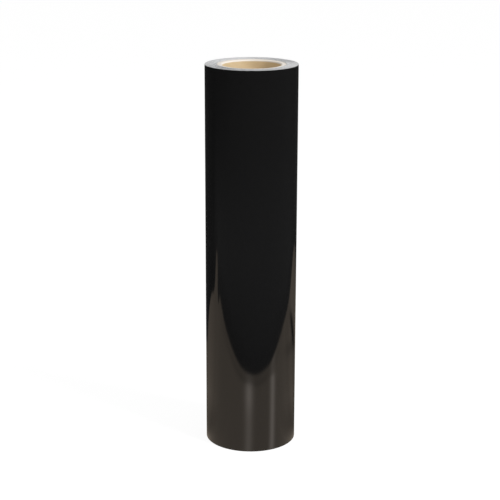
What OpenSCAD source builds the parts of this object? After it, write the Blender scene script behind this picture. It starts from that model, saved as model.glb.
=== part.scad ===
// Roll of sign vinyl, standing on end. A gloss black face film with its adhesive
// on a white release liner is wound film side out on a spiral paper core.
// +Z runs up the axis of the roll. The origin is on the axis, in the plane that
// the roll stands on. The free end of the web lies on the +Y side.

/* [Web] */
// Width of the web, which is the height of the standing roll
web_w = 508; // [200:1:1600]
// Thickness of the vinyl face film
film_t = 0.1; // [0.05:0.005:0.2]
// Thickness of the adhesive on the back of the film
adhesive_t = 0.025; // [0.015:0.005:0.05]
// Thickness of the release liner
liner_t = 0.125; // [0.08:0.005:0.25]
// Number of turns wound on the core
turns = 62; // [4:1:80]

/* [Core] */
// Diameter of the bore that goes on a spindle
core_bore_d = 76.2; // [50.8:0.1:152.4]
// Thickness of the tube's wall
core_wall = 6; // [3:0.5:13]
// Thickness of the smooth paper ply that lines the bore
inner_ply_t = 0.4; // [0.2:0.05:0.8]
// Thickness of the smooth paper ply around the outside
outer_ply_t = 0.4; // [0.2:0.05:0.8]
// How far each end of the tube stops short of the edge of the web
core_inset = 0.5; // [0:0.1:3]
// Radius on the inner edge of each cut end
core_edge_r = 1.5; // [0.9:0.1:2]

/* [Start tape] */
// Length of the tape around the core, under the leading edge of the web
start_tape_len = 25; // [10:1:40]
// Thickness of the tape between the core and the web
start_tape_t = 0.1; // [0.05:0.01:0.3]
// How far the tape stops short of each edge of the web
start_tape_inset = 10; // [2:1:50]

/* [Free end] */
// Direction, seen from above, in which the middle of the free end lies
tail_azimuth = 90; // [0:5:355]
// Length of the free end, from the line where it lifts to its cut edge
tail_len = 56; // [40:1:60]
// Length of the free end over which the film stays on its liner when it is peeled back
film_grip_len = 16; // [4:1:18]
// Gap between the free end and the turn that it lies on
tail_gap = 0.1; // [0.05:0.05:1]

/* [Closing tape] */
// Width of the tape, along the roll
tape_w = 24; // [12:1:75]
// Thickness of the tape
tape_t = 0.05; // [0.03:0.01:0.2]
// Length of the tape that is stuck on the free end
tape_on_tail = 18; // [5:1:19]
// Length of the tape that is stuck on the roll, past the cut edge
tape_on_roll = 22; // [5:1:40]
// Gap between the tape and what it is stuck on
tape_gap = 0.05; // [0.02:0.01:0.2]

/* [Hidden] */

facets = 120;
// Slack between two layers that lie on each other without being one
seat_gap = 0.02;

film_pack_t = film_t + adhesive_t;
pitch = liner_t + film_pack_t;
film_colour = [0.08, 0.08, 0.085];

bore_r = core_bore_d / 2;
core_r = bore_r + core_wall;
core_len = web_w - 2 * core_inset;

// The radius grows by one pitch a turn. Each half turn is half a ring, and the
// rings' centres lie a quarter pitch to either side of the axis, so that every
// half ring runs on into the next.
centre_shift = pitch / 4;
start_tape_r = core_r + seat_gap;
lead_r = start_tape_r + start_tape_t + seat_gap;
wind_r = lead_r + centre_shift;
half_turns = 2 * turns;
outer_half_turns = 2;

// The free end follows the ring that comes after the last half turn
tail_r = wind_r + turns * pitch + tail_gap;
tail_outer_r = tail_r + pitch;
tail_angle = arc_angle(tail_len, tail_outer_r);
grip_angle = arc_angle(film_grip_len, tail_outer_r);
wound_end_azimuth = tail_azimuth + tail_angle / 2;

// An angle is measured the way the web is wound, which is clockwise from above,
// from the line where the wound part ends
tape_start = tail_angle - arc_angle(tape_on_tail, tail_outer_r);
tape_roll_angle = arc_angle(tape_on_roll, tail_outer_r);
tape_step = tape_t + tape_gap;

function arc_angle(length, r) = length / r * 180 / PI;

// Band of thickness t between the radii r and r + t
module ring(r, t) {
    difference() {
        circle(r + t, $fn = facets);
        circle(r, $fn = facets);
    }
}

// Part of a ring that starts at -X and spans an angle below 90 degrees, clockwise
module ring_sector(r, t, span) {
    reach = 2 * (r + t);
    intersection() {
        ring(r, t);
        polygon([[0, 0], [-reach, 0], [-reach, reach * tan(span)]]);
    }
}

// Upper half of a ring, between -X and +X
module half_ring(r, t) {
    reach = 2 * (r + t);
    intersection() {
        ring(r, t);
        translate([-reach / 2, 0]) square([reach, reach]);
    }
}

// Turns the winding so that the wound part ends where the free end begins
module place_winding() {
    rotate([0, 0, wound_end_azimuth - 180]) children();
}

// One layer of the wound web, at a height above the back of the liner, for the
// half turns from first up to but not including last
module wound_layer(height, t, first = 0, last = half_turns) {
    place_winding() linear_extrude(web_w)
        for (i = [first : last - 1]) {
            side = i % 2 == 0 ? 1 : -1;
            translate([side * centre_shift, 0])
                rotate(90 - 90 * side)
                    half_ring(wind_r + height + i * pitch / 2, t);
        }
}

// One layer of the free end, from an angle and over a span, on a radius
module tail_layer(start, span, r, t, w) {
    place_winding() linear_extrude(w)
        translate([centre_shift, 0])
            rotate(-start)
                ring_sector(r, t, span);
}

// Section of the tube's wall: both cut ends have a rounded inner edge
module core_section() {
    difference() {
        translate([bore_r, core_inset]) square([core_wall, core_len]);
        for (z = [core_inset, web_w - core_inset])
            translate([bore_r, z]) square(2 * core_edge_r, center = true);
    }
    intersection() {
        translate([bore_r, core_inset]) square([core_wall, core_len]);
        for (z = [core_inset + core_edge_r, web_w - core_inset - core_edge_r])
            translate([bore_r + core_edge_r, z]) circle(core_edge_r, $fn = facets);
    }
}

// The part of the tube's wall that lies from r_from to r_to
module core_layer(r_from, r_to) {
    rotate_extrude($fn = facets)
        intersection() {
            core_section();
            translate([r_from, 0]) square([r_to - r_from, web_w]);
        }
}

module core_inner_ply() {
    color("burlywood") core_layer(bore_r, bore_r + inner_ply_t);
}

module core_board() {
    color("tan") core_layer(bore_r + inner_ply_t, core_r - outer_ply_t);
}

module core_outer_ply() {
    color("wheat") core_layer(core_r - outer_ply_t, core_r);
}

module start_tape() {
    color("lightyellow")
        place_winding()
            translate([0, 0, start_tape_inset])
                linear_extrude(web_w - 2 * start_tape_inset)
                    ring_sector(start_tape_r, start_tape_t, arc_angle(start_tape_len, core_r));
}

module release_liner() {
    color("white") wound_layer(0, liner_t);
}

// The film of all turns but the outermost
module face_film() {
    color(film_colour)
        wound_layer(liner_t, film_pack_t, last = half_turns - outer_half_turns);
}

// The film of the outermost turn, which is the face of the roll
module outer_wrap() {
    color(film_colour)
        wound_layer(liner_t, film_pack_t, first = half_turns - outer_half_turns);
}

module liner_tail() {
    color("white") tail_layer(0, tail_angle, tail_r, liner_t, web_w);
}

// The film of the free end that stays on its liner
module film_tail() {
    color(film_colour) tail_layer(0, grip_angle, tail_r + liner_t, film_pack_t, web_w);
}

// The film of the free end that peels off its liner
module film_flap() {
    color(film_colour)
        tail_layer(grip_angle, tail_angle - grip_angle, tail_r + liner_t, film_pack_t, web_w);
}

// The tape lies on the free end, steps down over the cut edge and lies on the roll
module tail_tape() {
    on_tail_r = tail_outer_r + tape_gap;
    on_roll_r = tail_r - tail_gap + tape_gap;
    color("gainsboro")
        translate([0, 0, (web_w - tape_w) / 2]) {
            tail_layer(tape_start, tail_angle - tape_start + arc_angle(tape_step, tail_outer_r),
                       on_tail_r, tape_t, tape_w);
            tail_layer(tail_angle + arc_angle(tape_gap, tail_outer_r),
                       arc_angle(tape_t, tail_outer_r),
                       on_roll_r, on_tail_r + tape_t - on_roll_r, tape_w);
            tail_layer(tail_angle + arc_angle(tape_gap, tail_outer_r), tape_roll_angle,
                       on_roll_r, tape_t, tape_w);
        }
}

core_inner_ply();
core_board();
core_outer_ply();
start_tape();
release_liner();
face_film();
outer_wrap();
liner_tail();
film_tail();
film_flap();
tail_tape();
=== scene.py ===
"""A roll of gloss black sign vinyl, standing on end on its paper core.

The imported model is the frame. The wound web, its free end, the closing tape and
the core are drawn again here as fine surfaces with their own finishes.
Lengths are in metres and angles in radians, apart from directions that are said
to be in degrees.
"""
import math

import bpy
import numpy as np
from mathutils import Matrix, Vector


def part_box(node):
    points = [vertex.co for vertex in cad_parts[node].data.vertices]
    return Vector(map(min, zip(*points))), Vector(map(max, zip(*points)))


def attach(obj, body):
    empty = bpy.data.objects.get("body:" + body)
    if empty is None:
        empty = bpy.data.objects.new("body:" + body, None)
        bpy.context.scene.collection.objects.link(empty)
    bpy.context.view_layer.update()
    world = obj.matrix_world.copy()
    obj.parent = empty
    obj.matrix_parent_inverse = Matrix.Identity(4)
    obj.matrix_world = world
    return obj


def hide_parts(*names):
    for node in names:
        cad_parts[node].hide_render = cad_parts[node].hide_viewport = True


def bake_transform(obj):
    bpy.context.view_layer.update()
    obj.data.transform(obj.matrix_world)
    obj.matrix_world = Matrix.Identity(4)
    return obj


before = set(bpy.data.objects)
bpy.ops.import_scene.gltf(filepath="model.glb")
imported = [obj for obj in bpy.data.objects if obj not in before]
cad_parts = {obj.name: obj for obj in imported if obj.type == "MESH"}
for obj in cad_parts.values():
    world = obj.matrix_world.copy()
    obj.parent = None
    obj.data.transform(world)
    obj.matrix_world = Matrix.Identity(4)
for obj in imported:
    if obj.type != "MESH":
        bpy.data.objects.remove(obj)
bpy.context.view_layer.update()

MM = 0.001
ROUND = 2 * math.pi

# --- The web, the core and the tape, at the model's sizes --------------------
FILM_T = 0.125 * MM        # face film with its adhesive
LINER_T = 0.125 * MM
PITCH = FILM_T + LINER_T
TURNS = 62
BORE_R = 38.1 * MM
CORE_WALL = 6 * MM
PLY_T = 0.4 * MM
CORE_INSET = 0.5 * MM      # how far the core's ends stand back from the web's
CORE_EDGE_R = 1.5 * MM
SEAT_GAP = 0.02 * MM       # under the start tape and over it
START_TAPE_T = 0.1 * MM
TAIL_LEN = 56 * MM         # the free end
GRIP_LEN = 16 * MM         # its first part, drawn as a piece of its own
TAIL_GAP = 0.1 * MM        # under it
TAPE_T = 0.05 * MM         # the closing tape
TAPE_GAP = 0.05 * MM       # under it
TAPE_ON_TAIL = 18 * MM     # its length on the free end
TAPE_ON_ROLL = 22 * MM     # and on the roll

WEB_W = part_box("release_liner")[1][2]
CORE_R = BORE_R + CORE_WALL
LEAD_R = CORE_R + START_TAPE_T + 2 * SEAT_GAP
WOUND_R = LEAD_R + TURNS * PITCH
# The model's turns are half rings about centres a quarter of the pitch off the axis
TAIL_OUTER_R = WOUND_R + PITCH / 4 + TAIL_GAP + PITCH
TAIL_ANGLE = TAIL_LEN / TAIL_OUTER_R
# The middle of the free end is right at the back
END_AZIMUTH = math.pi / 2 + TAIL_ANGLE / 2
WOUND_PHI = ROUND * TURNS
CUT_PHI = WOUND_PHI + TAIL_ANGLE

# --- How the web is slit, wound and lifted -----------------------------------
FINE_STEP = 0.12 * MM      # a slit edge's unevenness from quarter turn to quarter turn
SLOW_STEP = 0.08 * MM      # and from each five turns to the next five
FILM_BACK = 0.015 * MM     # how far the film's edges stand back from the liner's
RELIEF = 0.03 * MM         # height of the waves that winding tension leaves
RELIEF_WAVES = 8
LIFT_RUN = 6 * MM          # length over which the gap under the free end opens
BEND_LEN = 12 * MM         # a length along the free end to a second point, worked out and not used

# --- How finely the web is cut -----------------------------------------------
WOUND_COLUMNS = 180        # to a turn inside the roll
FACE_COLUMNS = 288         # to the outermost turn
LINER_END_COLUMNS = 97     # along the liner's free end
GRIP_COLUMNS = 33          # along the film that stays on it
FILM_END_COLUMNS = 81      # and along the rest of the film, which also lies on the liner
FACE_ROWS = 97             # up the outer face


# --- Surfaces ---------------------------------------------------------------
def cells(across, along, close_across=False, close_along=False):
    """Four corner numbers of every cell of a grid of across x along points.

    A cell joins point (i, j) to (i+1, j), (i+1, j+1) and (i, j+1); a closed
    direction wraps round from its last point to its first.
    """
    i = np.arange(across if close_across else across - 1)[:, None]
    j = np.arange(along if close_along else along - 1)[None, :]
    i_next = (i + 1) % across
    j_next = (j + 1) % along
    corners = [i * along + j, i_next * along + j, i_next * along + j_next, i * along + j_next]
    return np.stack([np.broadcast_to(c, (i.size, j.size)) for c in corners], -1)


def enclosed_volume(points, quads):
    """Signed volume inside closed quads: a sixth of the sum of a . (b x c) over
    the two triangles abc of each quad."""
    a, b, c, d = (points[quads[:, k]] for k in range(4))
    halves = np.einsum("ij,ij->i", a, np.cross(b, c)) + np.einsum("ij,ij->i", a, np.cross(c, d))
    return halves.sum() / 6


def add_object(name, data):
    """An object at the origin with this mesh, lamp or camera."""
    item = bpy.data.objects.new(name, data)
    bpy.context.scene.collection.objects.link(item)
    return item


def surface(name, points, uv, close_across=False, materials=(), second=None, sharp=35):
    """A closed piece from a grid of points whose second direction runs round a profile.

    points is across x along x 3, and the profile always closes. Where the first
    direction stays open, the first and last profile are filled with one face each.
    second is a slice of the profile's cells that take the second material. Edges
    that turn by more than sharp degrees stay sharp.
    """
    across, along = points.shape[:2]
    quads = cells(across, along, close_across, True)
    flat = points.reshape(-1, 3)
    face_list = quads.reshape(-1, 4)
    slots = np.zeros(quads.shape[:2], int)
    if second is not None:
        slots[:, second] = 1
    slots = slots.ravel().tolist()
    turn_over = enclosed_volume(flat, face_list) < 0
    faces = (face_list[:, ::-1] if turn_over else face_list).tolist()
    if not close_across:
        first_cap = list(range(along))
        last_cap = list(range((across - 1) * along, across * along))[::-1]
        for cap in (first_cap, last_cap):
            faces.append(cap[::-1] if turn_over else cap)
            slots.append(0)
    mesh = bpy.data.meshes.new(name)
    mesh.from_pydata(flat.tolist(), [], faces)
    for material in materials:
        mesh.materials.append(material)
    mesh.polygons.foreach_set("material_index", np.array(slots, np.int32))
    corner_points = np.empty(len(mesh.loops), np.int32)
    mesh.loops.foreach_get("vertex_index", corner_points)
    layer = mesh.uv_layers.new(name="web_metres")
    layer.data.foreach_set("uv", uv.reshape(-1, 2)[corner_points].astype(np.float32).ravel())
    mesh.shade_smooth()
    mesh.set_sharp_from_angle(angle=math.radians(sharp))
    mesh.update()
    return add_object(name, mesh)


def on_axis(radius, azimuth, height):
    """Points at a distance from the roll's axis, a direction about it and a height."""
    radius, azimuth, height = np.broadcast_arrays(radius, azimuth, height)
    return np.stack([radius * np.cos(azimuth), radius * np.sin(azimuth), height], -1)


def smooth_step(t):
    """0 before 0, 1 after 1, and 3t^2 - 2t^3 between."""
    t = np.clip(t, 0, 1)
    return t * t * (3 - 2 * t)


def bell(value, middle, width):
    """A bell curve: e to the minus square of the distance from the middle in widths."""
    return np.exp(-((value - middle) / width) ** 2)


# --- The wound web ----------------------------------------------------------
def web_radius(phi):
    """Back of the liner: the lead radius plus one pitch for every turn wound."""
    return LEAD_R + PITCH * phi / ROUND


def web_azimuth(phi):
    """The web winds clockwise seen from above, and its free end begins at END_AZIMUTH."""
    return END_AZIMUTH + WOUND_PHI - phi


def web_length(phi):
    """Length wound so far: the lead radius times phi plus half the growth."""
    return LEAD_R * phi + PITCH * phi ** 2 / (2 * ROUND)


def phi_past_end(length):
    """Winding angle at a length of web past the line where the free end lifts."""
    return WOUND_PHI + length / TAIL_OUTER_R


def slit_edge(phi, seed):
    """How far a slit edge stands back from the nominal width.

    Every quarter turn has a random height and every five turns a slow one, with
    straight lines between them.
    """
    rng = np.random.default_rng(seed)
    fine = rng.random(4 * (TURNS + 2))
    slow = rng.random(TURNS // 5 + 3)
    turns = phi / ROUND
    return (FINE_STEP * np.interp(turns * 4, np.arange(fine.size), fine)
            + SLOW_STEP * np.interp(turns / 5, np.arange(slow.size), slow))


def tension_relief(phi, height):
    """Outer face's departure from the even spiral, as winding tension leaves it.

    The mean of a few sine waves, 0.19 to 0.7 m long round the roll and 35 to
    160 mm up it, each leaning to a side and with a phase of its own at random.
    """
    rng = np.random.default_rng(11)
    along = web_length(phi)
    total = np.zeros(np.broadcast(phi, height).shape)
    for _ in range(RELIEF_WAVES):
        round_wave = rng.uniform(0.19, 0.7)
        up_wave = rng.uniform(0.035, 0.16)
        lean = rng.choice([-1.0, 1.0])
        phase = rng.uniform(0, ROUND)
        total = total + np.sin(ROUND * (lean * along / round_wave + height / up_wave) + phase)
    return RELIEF * total / RELIEF_WAVES


def tail_lift(phi):
    """Gap under the free end, which opens smoothly over its first few millimetres."""
    return TAIL_GAP * smooth_step((phi - WOUND_PHI) * TAIL_OUTER_R / LIFT_RUN)


def web_strip(name, phi, low, high, rows, materials, edge_back=0.0):
    """One layer of the web: a closed strip between two heights above the liner's back.

    Across it is the winding angle; its profile goes up the inner face and down the
    outer one, where rows points carry the tension relief if they are more than
    two. edge_back is how much further its slit edges stand back. A second material
    goes on the inner face.
    """
    top = WEB_W - slit_edge(phi, 3) - edge_back
    bottom = slit_edge(phi, 5) + edge_back
    back = web_radius(phi) + tail_lift(phi)
    share = np.linspace(1, 0, rows)
    heights = np.concatenate([np.stack([bottom, top], -1),
                              bottom[:, None] + (top - bottom)[:, None] * share], 1)
    outer = (back + high)[:, None] + np.zeros(rows)
    if rows > 2:
        outer = outer + tension_relief(phi[:, None], heights[:, 2:])
    radii = np.concatenate([np.repeat((back + low)[:, None], 2, 1), outer], 1)
    points = on_axis(radii, web_azimuth(phi)[:, None], heights)
    uv = np.stack([np.broadcast_to(web_length(phi)[:, None], heights.shape), heights], -1)
    return surface(name, points, uv, materials=materials,
                   second=slice(0, 1) if len(materials) > 1 else None)


def even_turns(first, last, per_turn):
    """Winding angles from one turn to another, the same columns on every turn."""
    return np.linspace(first, last, round((last - first) * per_turn) + 1) * ROUND


def fine_ends(phi, step=2e-4):
    """The same winding angles with one more right beside each end, so that
    shading runs on over the line where two strips meet."""
    return np.concatenate([phi[:1], phi[:1] + step, phi[1:-1], phi[-1:] - step, phi[-1:]])


# --- Materials --------------------------------------------------------------
class Finish:
    """A procedural material: nodes are added with their inputs, and wired by socket.

    A socket goes by its own name, with _ for a space.
    """

    def __init__(self, name, **sockets):
        self.material = bpy.data.materials.new(name)
        self.material.use_nodes = True
        self.tree = self.material.node_tree
        self.shader = self.tree.nodes["Principled BSDF"]
        self.coat(**sockets)

    def feed(self, socket, value):
        """Links another node's output to a socket, or writes a constant on it."""
        if isinstance(value, bpy.types.NodeSocket):
            self.tree.links.new(value, socket)
        else:
            socket.default_value = value

    def set(self, node, **sockets):
        """Feeds a node's sockets by name."""
        for key, value in sockets.items():
            self.feed(node.inputs[key.replace("_", " ")], value)

    def coat(self, **sockets):
        """Sets the sockets of the surface's own shader."""
        self.set(self.shader, **sockets)

    def add(self, kind, props=None, **sockets):
        """A new node with these properties, and its sockets fed."""
        node = self.tree.nodes.new("ShaderNode" + kind)
        for key, value in (props or {}).items():
            setattr(node, key, value)
        self.set(node, **sockets)
        return node

    def show(self, shader_node):
        """Makes another shader the one that is seen."""
        self.set(self.tree.nodes["Material Output"], Surface=shader_node.outputs[0])

    def web(self, stretch=(1, 1, 1)):
        """The web's own length and width in metres, stretched."""
        uv = self.add("UVMap", {"uv_map": "web_metres"}).outputs["UV"]
        return self.add("Mapping", Vector=uv, Scale=stretch).outputs["Vector"]

    def place(self, stretch=(1, 1, 1)):
        """The object's own coordinates in metres, stretched."""
        spot = self.add("TexCoord").outputs["Object"]
        return self.add("Mapping", Vector=spot, Scale=stretch).outputs["Vector"]

    def noise(self, vector, scale, detail=2.0, rough=0.5):
        """Noise between 0 and 1 with scale swells to a unit of the vector."""
        return self.add("TexNoise", Vector=vector, Scale=scale, Detail=detail,
                        Roughness=rough).outputs["Fac"]

    def spread(self, value, low, high, from_low=0.3, from_high=0.7):
        """A value between from_low and from_high, spread over low to high."""
        return self.add("MapRange", Value=value, From_Min=from_low, From_Max=from_high,
                        To_Min=low, To_Max=high).outputs["Result"]

    def math(self, operation, *inputs):
        """The result of an operation on values or sockets."""
        node = self.add("Math", {"operation": operation})
        for socket, value in zip(node.inputs, inputs):
            self.feed(socket, value)
        return node.outputs[0]

    def ramp(self, value, *stops):
        """A colour by value, blended between two stops of (value, colour)."""
        node = self.add("ValToRGB", Fac=value)
        for item, (spot, color) in zip(node.color_ramp.elements, stops):
            item.position = spot
            item.color = (*color, 1)
        return node.outputs["Color"]

    def blend(self, share, first, second):
        """The first colour where share is 0 and the second where it is 1."""
        node = self.add("Mix", {"data_type": "RGBA"})
        for index, value in ((0, share), (6, first), (7, second)):
            self.feed(node.inputs[index], value)
        return node.outputs[2]

    def bump(self, height, distance, onto=None):
        """A relief of this depth, on top of another one where that is given."""
        node = self.add("Bump", Height=height, Distance=distance, Strength=1.0)
        if onto is not None:
            self.set(node, Normal=onto)
        return node.outputs["Normal"]


def gloss_vinyl():
    """Gloss black face film: smooth, faintly rippled, with slightly duller bands
    along the web from winding."""
    f = Finish("gloss_black_vinyl", IOR=1.5)
    spots = f.noise(f.web(), 900, 3)
    bands = f.noise(f.web((0.6, 40, 1)), 1, 3)
    ripple = f.bump(f.noise(f.web((60, 60, 1)), 1, 2), 0.012 * MM)
    f.coat(Base_Color=f.ramp(spots, (0.35, (0.0042, 0.0042, 0.0044)),
                             (0.75, (0.0056, 0.0055, 0.0055))),
           Roughness=f.spread(bands, 0.055, 0.08),
           Normal=f.bump(f.noise(f.web(), 1100, 2), 0.0012 * MM, onto=ripple))
    return f.material


def tacky_back():
    """Adhesive on the back of the film: dark and clear, with faint coating streaks
    along the web and a very fine orange peel from the liner's coating."""
    f = Finish("adhesive_side", IOR=1.47)
    streaks = f.noise(f.web((4, 260, 1)), 1, 4, 0.6)
    f.coat(Base_Color=f.ramp(streaks, (0.3, (0.020, 0.020, 0.021)),
                             (0.7, (0.027, 0.027, 0.028))),
           Roughness=f.spread(f.noise(f.web(), 90, 3), 0.20, 0.30),
           Normal=f.bump(f.noise(f.web(), 700, 2), 0.0015 * MM))
    return f.material


def coated_liner():
    """White clay-coated release paper, with the cloudiness of its fibres."""
    f = Finish("release_paper", IOR=1.48)
    cloud = f.noise(f.web(), 160, 5, 0.65)
    f.coat(Base_Color=f.ramp(cloud, (0.3, (0.69, 0.695, 0.705)), (0.7, (0.79, 0.795, 0.805))),
           Roughness=f.spread(cloud, 0.34, 0.48),
           Normal=f.bump(f.noise(f.web(), 1500, 3), 0.004 * MM))
    return f.material


def smooth_ply(name, light, dark, rubbed_and_highlit=None):
    """Calendered kraft ply: long fibres that lie along the strip. The last colour,
    when given, is the paler colour of its rounded edges at both ends of the core:
    partly rubbed paper and partly a painted highlight where light catches the
    rounding."""
    f = Finish(name, IOR=1.45)
    fibres = f.noise(f.web((120, 900, 1)), 1, 5, 0.7)
    clouds = f.noise(f.web(), 45, 3)
    mixed = f.math("MULTIPLY_ADD", fibres, 0.55, f.spread(clouds, 0.12, 0.36))
    color = f.ramp(mixed, (0.3, dark), (0.72, light))
    # Paler rounded edges at the core's ends: partly rubbed paper, partly a painted highlight
    if rubbed_and_highlit:
        height = f.add("SeparateXYZ", Vector=f.place()).outputs["Z"]
        from_middle = f.math("ABSOLUTE", f.math("SUBTRACT", height, WEB_W / 2))
        worn_and_highlit = f.math("MULTIPLY_ADD", fibres, 0.8 * MM, from_middle)
        start = WEB_W / 2 - CORE_INSET - CORE_EDGE_R
        pale_and_highlit = f.spread(worn_and_highlit, 0, 1, start - 0.3 * MM, start + 0.3 * MM)
        color = f.blend(pale_and_highlit, color, (*rubbed_and_highlit, 1))
    f.coat(Base_Color=color, Roughness=f.spread(fibres, 0.55, 0.75),
           Normal=f.bump(fibres, 0.03 * MM))
    return f.material


def board_end():
    """Cut core board: tan and cream plies a fraction of a millimetre thick."""
    f = Finish("core_board", IOR=1.45)
    fibres = f.noise(f.web((260, 2600, 1)), 1, 5, 0.7)
    plies = f.noise(f.web((6, 1700, 1)), 1, 1, 0.5)
    mixed = f.math("MULTIPLY_ADD", fibres, 0.5, f.spread(plies, 0.1, 0.4))
    f.coat(Base_Color=f.ramp(mixed, (0.3, (0.80, 0.72, 0.63)), (0.72, (0.92, 0.88, 0.83))),
           Roughness=f.spread(fibres, 0.7, 0.9),
           Normal=f.bump(mixed, 0.06 * MM))
    return f.material


def crepe_tape():
    """Pale paper tape with fine creases across it."""
    f = Finish("closing_tape", IOR=1.46)
    creases = f.noise(f.web((1500, 140, 1)), 1, 4, 0.6)
    f.coat(Base_Color=f.ramp(creases, (0.3, (0.60, 0.57, 0.48)), (0.7, (0.72, 0.69, 0.60))),
           Roughness=f.spread(creases, 0.42, 0.6),
           Normal=f.bump(creases, 0.03 * MM))
    return f.material


def splicing_tape():
    """Tape under the leading edge: a thin smooth film on the core."""
    f = Finish("start_tape", IOR=1.46)
    haze = f.noise(f.place((400, 400, 60)), 1, 3)
    f.coat(Base_Color=f.ramp(haze, (0.3, (0.50, 0.47, 0.38)), (0.7, (0.60, 0.57, 0.48))),
           Roughness=f.spread(haze, 0.3, 0.45))
    return f.material


vinyl = gloss_vinyl()
adhesive = tacky_back()
liner = coated_liner()
# The lining's last colour is partly rubbed paper and partly a painted highlight on the core's
# rounded edges
lining = smooth_ply("core_lining", (0.82, 0.66, 0.42), (0.66, 0.50, 0.29), (0.93, 0.88, 0.82))
wrapping = smooth_ply("core_wrap", (0.70, 0.60, 0.46), (0.54, 0.44, 0.31))
board = board_end()
tape = crepe_tape()
start_finish = splicing_tape()

# --- The web's pieces -------------------------------------------------------
GRIP_PHI = phi_past_end(GRIP_LEN)
wound_film = web_strip("wound_film", even_turns(0, TURNS - 1, WOUND_COLUMNS),
                       LINER_T, PITCH, 2, [vinyl], edge_back=FILM_BACK)
wound_liner = web_strip("wound_liner", even_turns(0, TURNS, WOUND_COLUMNS),
                        0, LINER_T, 2, [liner])
face_turn = web_strip("face_turn", fine_ends(even_turns(TURNS - 1, TURNS, FACE_COLUMNS)),
                      LINER_T, PITCH, FACE_ROWS, [vinyl])
liner_end = web_strip("liner_free_end",
                      fine_ends(np.linspace(WOUND_PHI, CUT_PHI, LINER_END_COLUMNS)),
                      0, LINER_T, 2, [liner])
film_grip = web_strip("film_grip",
                      fine_ends(np.linspace(WOUND_PHI, GRIP_PHI, GRIP_COLUMNS)),
                      LINER_T, PITCH, FACE_ROWS, [vinyl, adhesive])
film_end = web_strip("film_free_end",
                     fine_ends(np.linspace(GRIP_PHI, CUT_PHI, FILM_END_COLUMNS)),
                     LINER_T, PITCH, FACE_ROWS, [vinyl, adhesive])

# --- The closing tape -------------------------------------------------------
TAPE_ROWS = 97
TAPE_COLUMNS = (40, 20, 46)  # on the free end, closer where it falls, and on the roll
TAPE_BACK = 0.01 * MM      # how far its long edges stand back from the nominal width
TOOTH = 1 * MM             # from tooth to tooth
TOOTH_DEPTH = 0.45 * MM
TOOTH_SHARE = 20           # the teeth fade out over a 20th of the tape's length
FALL_START = 0.05 * MM     # where the tape leaves the cut edge
FALL_RUN = 1.2 * MM


def closing_tape():
    """Tape over the cut edge: a thin band along the web's winding angle.

    It follows the free end up to the cut edge, falls smoothly by the thickness of
    the web and the gap under it, and follows the roll from there. Its two torn
    ends are saw-toothed: an end lies inward by the depth of a tooth at every
    whole tooth across the tape, by nothing midway, and in straight lines between.
    """
    low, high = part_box("tail_tape")
    rows = np.linspace(low[2] + TAPE_BACK, high[2] - TAPE_BACK, TAPE_ROWS)
    stretches = ((-TAPE_ON_TAIL, -0.5 * MM), (-0.3 * MM, 1.6 * MM), (2 * MM, TAPE_ON_ROLL))
    length = np.concatenate([np.linspace(*stretch, columns)
                             for stretch, columns in zip(stretches, TAPE_COLUMNS)])
    saw = np.abs((rows / TOOTH) % 1 - 0.5) * 2 * TOOTH_DEPTH
    share = (length - length[0]) / (length[-1] - length[0])
    first_end = 1 - smooth_step(share * TOOTH_SHARE)
    last_end = smooth_step(share * TOOTH_SHARE - (TOOTH_SHARE - 1))
    run = length[:, None] + saw[None, :] * (first_end - last_end)[:, None]
    phi = CUT_PHI + run / TAIL_OUTER_R
    on_tail = web_radius(CUT_PHI) + TAIL_GAP + PITCH + TAPE_GAP
    on_roll = web_radius(CUT_PHI) + TAPE_GAP
    fall = smooth_step((run - FALL_START) / FALL_RUN)
    inner = on_tail + (on_roll - on_tail) * fall + PITCH * run / (ROUND * TAIL_OUTER_R)
    lower = on_axis(inner, web_azimuth(phi), rows[None, :])
    upper = on_axis(inner + TAPE_T, web_azimuth(phi), rows[None, :])
    flat = np.stack([run, np.broadcast_to(rows, run.shape)], -1)
    return surface("closing_tape_strip", np.concatenate([lower, upper[:, ::-1]], 1),
                   np.concatenate([flat, flat[:, ::-1]], 1), materials=[tape])


tape_strip = closing_tape()

# --- The core ---------------------------------------------------------------
PLY_LEAD = 149 * MM        # how far the lining's strip climbs in one turn
JOINT_AT_TOP = 116 / 360   # share of a turn at which its butt joint meets the top end
JOINT_TURN = JOINT_AT_TOP - (WEB_W - CORE_INSET) / PLY_LEAD
JOINT_DEPTH = 0.12 * MM
JOINT_WIDTH = 0.35 * MM
BESIDE_JOINT = np.array([0.15, 0.4, 0.8]) * MM  # where it has columns of its own
END_RELIEF = 0.05 * MM     # unevenness of the cut board


def core_end(radius):
    """Height of the core's top end at a distance from the axis: level, and rounded
    at the bore by a quarter circle of the edge radius."""
    inside = np.clip((BORE_R + CORE_EDGE_R - radius) / CORE_EDGE_R, 0, 1)
    return WEB_W - CORE_INSET - CORE_EDGE_R * (1 - np.sqrt(1 - inside ** 2))


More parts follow.
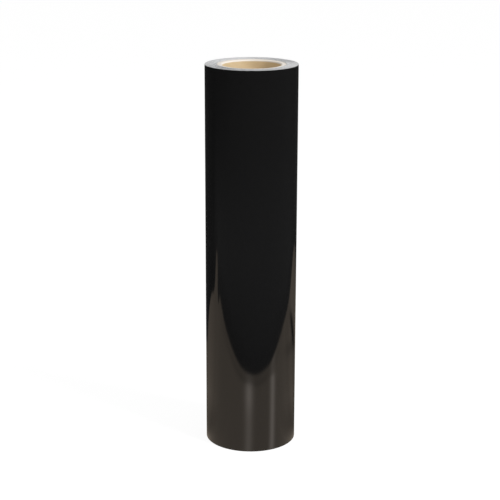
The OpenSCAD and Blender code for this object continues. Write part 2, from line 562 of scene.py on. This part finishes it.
def core_tube(name, inner_r, outer_r, material, columns=180, wall_rows=2, back_rows=2,
              end_step=0.1 * MM, end_relief=0.0, lead=math.inf, joint=0.0):
    """A tube whose profile goes up the bore side, out over the cut end, down the
    outside and in under the other end.

    The cut ends have a point every end_step, each lower by up to end_relief at
    random. lead is how far a ply climbs in one turn: a column leans by one turn
    over it, so a leaning wall has rows close enough that no cell cuts across the
    bore. joint is the depth of the butt joint between two rounds of the inner
    strip, a bell curve across it.
    """
    end_r = np.linspace(inner_r, outer_r, max(2, round((outer_r - inner_r) / end_step) + 1))
    rng = np.random.default_rng(21)
    ridged = core_end(end_r) - end_relief * rng.random(end_r.size)
    wall = np.linspace(WEB_W - ridged[0], ridged[0], wall_rows)
    back = np.linspace(ridged[-1], WEB_W - ridged[-1], back_rows)
    radii = np.concatenate([np.full(wall_rows, inner_r), end_r[1:-1],
                            np.full(back_rows, outer_r), end_r[-2:0:-1]])
    heights = np.concatenate([wall, ridged[1:-1], back, (WEB_W - ridged)[-2:0:-1]])
    share = np.arange(columns) / columns
    if joint:
        beside = BESIDE_JOINT / (ROUND * inner_r)
        share = np.unique(np.concatenate([share, beside, 1 - beside]))
    azimuth = ROUND * (share[:, None] + heights[None, :] / lead + JOINT_TURN)
    radius = np.broadcast_to(radii, azimuth.shape).copy()
    if joint:
        away = np.minimum(share, 1 - share) * ROUND * inner_r
        radius[:, :wall_rows] += (joint * bell(away, 0, JOINT_WIDTH))[:, None]
    points = on_axis(radius, azimuth, heights[None, :])
    steps = np.hypot(np.diff(radii, append=radii[:1]), np.diff(heights, append=heights[:1]))
    path = np.concatenate([[0], np.cumsum(steps)[:-1]])
    girth = share * ROUND * inner_r
    uv = np.stack(np.broadcast_arrays(girth[:, None], path[None, :]), -1)
    return surface(name, points, uv, close_across=True, materials=[material], sharp=50)


core_lining = core_tube("core_lining_ply", BORE_R, BORE_R + PLY_T, lining, columns=128,
                        wall_rows=300, back_rows=200, lead=PLY_LEAD, joint=JOINT_DEPTH)
board_tube = core_tube("core_board_tube", BORE_R + PLY_T, CORE_R - PLY_T, board,
                       end_relief=END_RELIEF)
core_wrap = core_tube("core_wrap_ply", CORE_R - PLY_T, CORE_R, wrapping, end_step=0.2 * MM)

start_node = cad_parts["start_tape"]
if not start_node.material_slots:
    start_node.data.materials.append(start_finish)
for material_slot in start_node.material_slots:
    material_slot.material = start_finish

# --- What each piece stands for, and what the roll's pieces and the tape move with ---
for piece, node, slot in ((wound_film, "face_film", "vinyl"),
                          (wound_liner, "release_liner", "liner"),
                          (face_turn, "outer_wrap", "vinyl"),
                          (core_lining, "core_inner_ply", "core_lining"),
                          (board_tube, "core_board", "core_board"),
                          (core_wrap, "core_outer_ply", "core_wrap")):
    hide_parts(node)
    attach(piece, "roll")

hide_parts("tail_tape")
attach(tape_strip, "closing_tape")


def web_line(length):
    """Point of the free end at half height, a length past the line where it lifts."""
    phi = phi_past_end(length)
    return tuple(float(x) for x in on_axis(WOUND_R + PITCH, web_azimuth(phi), WEB_W / 2))


for piece, node, slot, bodies, begin in (
        (liner_end, "liner_tail", "liner", ("roll", "liner_end"), 0),
        (film_grip, "film_tail", "vinyl", ("roll", "liner_end"), 0),
        (film_end, "film_flap", "vinyl", ("liner_end", "film_end"), GRIP_LEN)):
    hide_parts(node)
    web_line(begin)
    web_line(begin + BEND_LEN)
    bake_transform(piece)

# --- Floor ------------------------------------------------------------------
FLOOR_HALF = 30
FLOOR_DROP = 0.3 * MM      # how far the floor lies below the roll
CARD_DROP = 0.1 * MM       # and the card that the film mirrors


def grid_sheet(name, points, painted_light=None):
    """An open sheet for the stage, with a painted light colour on every point where one is
    given.
    """
    across, along = points.shape[:2]
    faces = cells(across, along).reshape(-1, 4)
    mesh = bpy.data.meshes.new(name)
    mesh.from_pydata(points.reshape(-1, 3).tolist(), [], faces.tolist())
    if painted_light is not None:
        layer = mesh.color_attributes.new("painted_light", "FLOAT_COLOR", "POINT")
        rgba = np.concatenate([painted_light, np.ones((*painted_light.shape[:2], 1))], -1)
        layer.data.foreach_set("color", rgba.astype(np.float32).ravel())
    mesh.update()
    sheet = add_object(name, mesh)
    return sheet


def seen_straight(tree):
    """1 for rays from the camera, from glossy surfaces and through clear ones, and
    0 for all others: the greatest of the three."""
    path = tree.nodes.new("ShaderNodeLightPath").outputs
    seen = path["Is Camera Ray"]
    for key in ("Is Glossy Ray", "Is Transmission Ray"):
        greater = tree.nodes.new("ShaderNodeMath")
        greater.operation = "MAXIMUM"
        tree.links.new(seen, greater.inputs[0])
        tree.links.new(path[key], greater.inputs[1])
        seen = greater.outputs[0]
    return seen


def choose_shader(tree, spreading, straight):
    """One shader for the light that it spreads, and another where it is seen straight."""
    choice = tree.nodes.new("ShaderNodeMixShader")
    sources = (seen_straight(tree), spreading.outputs[0], straight.outputs[0])
    for source, socket in zip(sources, choice.inputs):
        tree.links.new(source, socket)
    return choice


def pale_floor():
    """Pale floor, near white to the camera and in mirrors, that keeps the shadow."""
    f = Finish("floor", Roughness=0.8)
    grain = f.noise(f.place(), 40, 3)
    f.coat(Base_Color=f.ramp(grain, (0.3, (0.80, 0.80, 0.80)), (0.7, (0.83, 0.83, 0.83))))
    shown = f.add("Emission", Color=(1, 1, 1, 1), Strength=0.90)
    part = f.add("BsdfDiffuse", Color=(0.22, 0.22, 0.22, 1))
    both = f.add("AddShader")
    f.feed(both.inputs[0], shown.outputs[0])
    f.feed(both.inputs[1], part.outputs[0])
    f.show(choose_shader(f.tree, f.shader, both))
    return f.material


side = np.linspace(-FLOOR_HALF, FLOOR_HALF, 3)
floor = grid_sheet("floor", np.stack([*np.meshgrid(side, side, indexing="ij"),
                                      np.full((3, 3), -FLOOR_DROP)], -1))
floor.data.materials.append(pale_floor())

# --- Painted reflection for the film: a glowing card with a bench, lamp glints and a dark room ---
# Outline of the painted bench top about the roll, seen from above: points along its
# edge, from -X round by the front and the back
BENCH_EDGE = np.array([
    (-0.650, -0.035), (-0.683, -0.096), (-0.515, -0.222), (-0.352, -0.303), (-0.180, -0.339),
    (0.000, -0.343), (0.165, -0.310), (0.300, -0.245), (0.430, -0.160), (0.550, 0.000),
    (0.630, 0.255), (0.695, 0.500), (0.695, 0.645), (0.590, 0.790), (0.355, 0.720),
    (0.160, 0.580), (0.000, 0.440), (-0.195, 0.340), (-0.265, 0.330), (-0.375, 0.361),
    (-0.495, 0.358), (-0.620, 0.293), (-0.718, 0.150), (-0.950, 0.100), (-0.955, 0.025),
    (-0.720, 0.000)])
EDGE_STEPS = 12            # places on the smooth line from one point to the next
EDGE_BLUR = 0.035          # share of the edge's reach over which bench turns to room

# Painted light of the reflection by direction in degrees, from -X round by the front
# and the back: how bright the bench is, the share of that close beside the roll (a
# painted shade of the roll), how bright the room is beyond the bench, and the part
# by which it is brighter a metre away
PAINTED_LEVELS = np.array([
    (-180, 0.50, 0.50, 0.067, 1.10), (-165, 0.54, 0.85, 0.078, 0.95),
    (-140, 0.62, 1.00, 0.100, 0.57), (-105, 0.66, 1.00, 0.100, 0.48),
    (-76, 0.63, 1.00, 0.100, 0.43), (-25, 0.62, 0.95, 0.096, 0.36),
    (0, 0.52, 0.45, 0.088, 0.35), (13, 0.37, 0.31, 0.077, 0.30),
    (33, 0.32, 0.22, 0.045, 0.30), (53, 0.12, 0.18, 0.036, 0.00),
    (90, 0.30, 0.80, 0.040, 0.00), (125, 0.09, 0.22, 0.030, 0.00),
    (145, 0.27, 0.30, 0.037, 0.00), (165, 0.41, 0.38, 0.044, 0.30),
    (174, 0.44, 0.44, 0.060, 1.00), (180, 0.50, 0.50, 0.067, 1.10)])
# Painted shade of the roll on the bench close beside it
NEAR_END = 0.06            # reach up to which the bench has its share beside the roll
NEAR_RUN = 0.16            # and the length over which it rises to its level
BENCH_TINT = np.array([1.19, 1.0, 0.81])

# Painted shade along the bench's edge in front, a dimming and a dark line:
# places are shares of the way to the edge
FRONT_DIM, FRONT_DIM_AT, FRONT_DIM_RUN = 0.18, 0.80, 0.10
DARK_LINE, DARK_LINE_AT, DARK_LINE_WIDTH = 0.13, 0.895, 0.03

# Painted into the reflection, a dark thing on the bench: how much light it takes,
# its direction in degrees at a reach, how that turns by the metre, half its
# angle, and its middle and half its length in reach; then the painted shade of
# the bench round its foot, and its painted shadow
PAINTED_DARK_THING, THING_DIRECTION, THING_AT, THING_TURN = 0.95, 34, 0.525, 100
THING_HALF_ANGLE, THING_MIDDLE, THING_HALF_LENGTH = 8, 0.485, 0.10
PAINTED_FOOT_SHADE, FOOT_DIRECTION, FOOT_HALF_ANGLE, FOOT_END, FOOT_RUN = 0.35, 42, 14, 0.55, 0.15
SHADOW, SHADOW_DIRECTION, SHADOW_HALF_ANGLE = 0.3, 25, 25
SHADOW_REACH, SHADOW_WIDTH = 0.405, 0.035

# Each painted lamp glint, a streak on the bench: where its line starts, its
# direction, half its angle in degrees, how much brighter than the bench it is,
# what it gains at GAIN_REACH, and the reach at which it has half faded
PAINTED_GLINTS = ((-0.0014, -0.030, -93.6, 10.0, 0.62, 0.80, 0.308),
           (0.0044, -0.0391, -30.8, 7.0, 0.98, 0.0, 0.328))
GAIN_REACH, GAIN_WIDTH = 0.26, 0.06
FADE, FADE_RUN = 0.68, 0.025  # the part that fades, and the length over which it does
PAINTED_GLINT_TINT = np.array([1.09, 1.0, 0.93])


def smooth_line(points, steps):
    """A closed smooth line through points, with steps places on every stretch.

    The line runs past a point in the direction from the point before to the
    point after, and each stretch between two points is a cubic.
    """
    t = np.linspace(0, 1, steps, endpoint=False)[:, None, None]
    ahead = np.roll(points, -1, 0)
    lead = (ahead - np.roll(points, 1, 0)) / 2
    lead_ahead = np.roll(lead, -1, 0)
    rise = 3 * t ** 2 - 2 * t ** 3
    line = (points * (1 - rise) + lead * (t ** 3 - 2 * t ** 2 + t)
            + ahead * rise + lead_ahead * (t ** 3 - t ** 2))
    return line.transpose(1, 0, 2).reshape(-1, 2)


def reach_of_edge(degrees):
    """Distance from the roll's axis to the bench top's edge in a direction."""
    edge = smooth_line(BENCH_EDGE, EDGE_STEPS)
    towards = np.degrees(np.arctan2(edge[:, 1], edge[:, 0]))
    return np.interp(degrees, towards, np.hypot(edge[:, 0], edge[:, 1]), period=360)


def painted_bench_light(degrees, reach, share, level, near):
    """How bright the painted bench in the reflection is, with share the part of the
    way to its edge.

    It starts beside the roll at the share near of its level, a painted shade of
    the roll. In front it dims towards its edge by a smooth step, with a darker
    line along it, both painted shade, as far as the direction points to the front.
    The painted dark thing, the painted shade of the bench round its foot and its
    painted shadow are bell curves in direction. In reach the thing ends as e to
    the minus fourth power, the foot by a smooth step and the shadow as a bell curve.
    """
    light = level * (near + (1 - near) * smooth_step((reach - NEAR_END) / NEAR_RUN))
    front = np.clip(-np.sin(np.radians(degrees)), 0, 1)
    dimmer = (FRONT_DIM * smooth_step((share - FRONT_DIM_AT) / FRONT_DIM_RUN)
              + DARK_LINE * bell(share, DARK_LINE_AT, DARK_LINE_WIDTH))
    leaning = THING_DIRECTION + THING_TURN * (THING_AT - reach)
    thing = (bell(degrees, leaning, THING_HALF_ANGLE)
             * np.exp(-((reach - THING_MIDDLE) / THING_HALF_LENGTH) ** 4))
    foot = (bell(degrees, FOOT_DIRECTION, FOOT_HALF_ANGLE)
            * smooth_step((FOOT_END - reach) / FOOT_RUN))
    shadow = (bell(degrees, SHADOW_DIRECTION, SHADOW_HALF_ANGLE)
              * bell(reach, SHADOW_REACH, SHADOW_WIDTH))
    return (light * (1 - front * dimmer) * (1 - PAINTED_DARK_THING * thing) * (1 - PAINTED_FOOT_SHADE * foot)
            * (1 - SHADOW * shadow))


def painted_glint_streaks(azimuth, reach):
    """Painted glints of the lamps, as streaks on the bench: each a bell curve in
    direction about its lamp's line, seen from where that line starts. Along it
    there is a bell curve in reach for what it gains, and it fades by a smooth step."""
    total = np.zeros(reach.shape)
    for start_x, start_y, middle, width, strength, gain, faded in PAINTED_GLINTS:
        seen_from = np.degrees(np.arctan2(reach * np.sin(azimuth) - start_y,
                                          reach * np.cos(azimuth) - start_x))
        away = (seen_from - middle + 180) % 360 - 180
        along = 1 + gain * bell(reach, GAIN_REACH, GAIN_WIDTH)
        fade = 1 - FADE * smooth_step((reach - faded) / FADE_RUN + 0.5)
        total = total + strength * along * fade * bell(away, 0, width)
    return total


def painted_room_light(reach, share, beyond, lift):
    """How bright the painted room is beyond the bench.

    It gains by a bell curve in the logarithm of the reach, greatest at a metre and
    0.55 wide, and loses a tenth from 1.6 to 3.6 m. Just past the edge of the bench
    it is a quarter darker, a painted shade, and no longer so at one and a half
    times that reach.
    """
    far = np.maximum(reach, 0.01)
    gain = lift * bell(np.log(far), 0, 0.55) - 0.1 * smooth_step((far - 1.6) / 2)
    return beyond * (1 + gain) * (0.75 + 0.25 * smooth_step((share - 1) / 0.5))


def painted_reflection_glow(azimuth, reach):
    """Painted reflection for the film, by direction and distance from the roll's
    axis: the bench and its painted lamp glints in warm light, and past its edge
    the neutral room.

    Levels run in straight lines between the directions of the table above, and
    the bench turns to room by a smooth step about its edge.
    """
    degrees = np.degrees(azimuth)
    level, near, beyond, lift = (np.interp(degrees, PAINTED_LEVELS[:, 0], PAINTED_LEVELS[:, k])
                                 for k in range(1, 5))
    share = reach / reach_of_edge(degrees)
    bench = painted_bench_light(degrees, reach, share, level, near)[..., None] * BENCH_TINT
    streaks = painted_glint_streaks(azimuth, reach)[..., None] * PAINTED_GLINT_TINT
    room = painted_room_light(reach, share, beyond, lift)[..., None]
    past = smooth_step((share - 1) / EDGE_BLUR + 0.5)[..., None]
    return (bench + streaks) * (1 - past) + room * past


def painted_reflection_finish():
    """A card that glows with the painted reflection's colours, though it is no lamp."""
    f = Finish("painted_reflection_card")
    painted_light = f.add("Attribute", {"attribute_name": "painted_light"}).outputs["Color"]
    f.show(f.add("Emission", Color=painted_light, Strength=1.0))
    return f.material


# A direction every degree, and reaches close together as far as the bench goes
azimuth, reach = np.meshgrid(np.radians(np.linspace(-180, 180, 361)),
                             np.concatenate([np.linspace(0.0, 1.2, 241),
                                             np.geomspace(1.3, 28, 24)]),
                             indexing="ij")
# The painted reflection: a card under the roll that glows with the bench, its lamp glints and
# the room
painted_reflection_card = grid_sheet("painted_reflection_card", on_axis(reach, azimuth, np.full(reach.shape, -CARD_DROP)),
                        painted_reflection_glow(azimuth, reach))
painted_reflection_card.data.materials.append(painted_reflection_finish())
# Only glossy surfaces see the card
for ray in ("camera", "diffuse", "transmission", "volume_scatter", "shadow"):
    setattr(painted_reflection_card, "visible_" + ray, False)


# --- Lamps, room and camera --------------------------------------------------
def lamp(name, place, target, size, watts):
    """A square soft lamp that looks at a point."""
    data = bpy.data.lights.new(name, "AREA")
    data.size = size
    data.energy = watts
    data.specular_factor = 0.0
    item = add_object(name, data)
    item.location = place
    look = np.array(target) - np.array(place)
    item.rotation_euler = (math.acos(-look[2] / np.linalg.norm(look)), 0,
                           math.atan2(look[1], look[0]) - math.pi / 2)


lamp("key_lamp", (1.5, -1.05, 1.75), (0, 0, 0.45), 0.7, 36)
lamp("fill_lamp", (-1.0, -1.6, 1.3), (0, 0, 0.3), 1.2, 3)


def pale_room():
    """Even light from all round, and white where it is seen straight."""
    world = bpy.data.worlds.new("room")
    world.use_nodes = True
    tree = world.node_tree
    plain = tree.nodes["Background"]
    white = tree.nodes.new("ShaderNodeBackground")
    for node, strength in ((plain, 0.42), (white, 1.0)):
        node.inputs["Color"].default_value = (1, 1, 1, 1)
        node.inputs["Strength"].default_value = strength
    choice = choose_shader(tree, plain, white)
    tree.links.new(choice.outputs[0], tree.nodes["World Output"].inputs["Surface"])
    return world


bpy.context.scene.world = pale_room()

CAMERA_TILT = 0.2802       # down from level
CAMERA_ROLL = 0.0031
camera_data = bpy.data.cameras.new("camera")
camera_data.sensor_width = 36
camera_data.lens = 99.15
camera_data.clip_end = 100
camera = add_object("camera", camera_data)
camera.location = (-0.0014, -1.7456, 0.7641)
camera.rotation_euler = (Matrix.Rotation(math.pi / 2 - CAMERA_TILT, 3, "X")
                         @ Matrix.Rotation(CAMERA_ROLL, 3, "Z")).to_euler()
bpy.context.scene.camera = camera

bpy.context.scene.view_settings.view_transform = "Standard"
